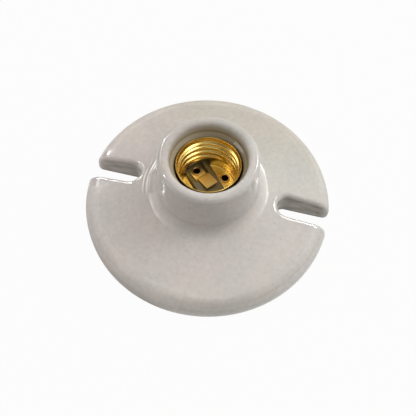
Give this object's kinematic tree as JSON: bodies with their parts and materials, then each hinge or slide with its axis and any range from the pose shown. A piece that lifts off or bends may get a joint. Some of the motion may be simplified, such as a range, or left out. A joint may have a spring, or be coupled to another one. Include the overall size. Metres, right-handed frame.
{
  "type": "ceramic lamp holder",
  "caption": "Round glazed porcelain lamp holder with open mounting slots, a raised cup round a brass screw shell, and wire terminals in a recess at the back.",
  "frame": {"origin": "centre of the flange's back face, where the lamp axis meets the ceiling or box", "axes": "+Z along the lamp axis, out of the socket; +X along the two mounting slots"},
  "size_m": [0.1132, 0.114, 0.0373],
  "materials": {
    "glazed_porcelain": "glossy off-white glaze with fine dark specks",
    "shell_brass": "bright drawn brass",
    "contact_brass": "satin sheet brass",
    "plated_screw": "bright plated steel",
    "brass_screw": "bright brass"
  },
  "bodies": {
    "holder": {"porcelain_body": "glazed_porcelain", "screw_shell": "shell_brass", "centre_contact": "contact_brass", "shell_eyelets": "contact_brass", "contact_eyelet": "contact_brass", "neutral_plate": "contact_brass", "line_plate": "contact_brass"},
    "neutral_screw": {"neutral_terminal_screw": "plated_screw"},
    "line_screw": {"line_terminal_screw": "brass_screw"}
  },
  "joints": [
    {"name": "neutral_screw_turn", "type": "hinge", "parent": "holder", "child": "neutral_screw", "pos_m": [0.0145, 0.0145, 0.006], "axis": [0, 0, -1], "range_deg": [0, 990]},
    {"name": "line_screw_turn", "type": "hinge", "parent": "holder", "child": "line_screw", "pos_m": [-0.0145, 0.0145, 0.006], "axis": [0, 0, -1], "range_deg": [0, 990]}
  ]
}
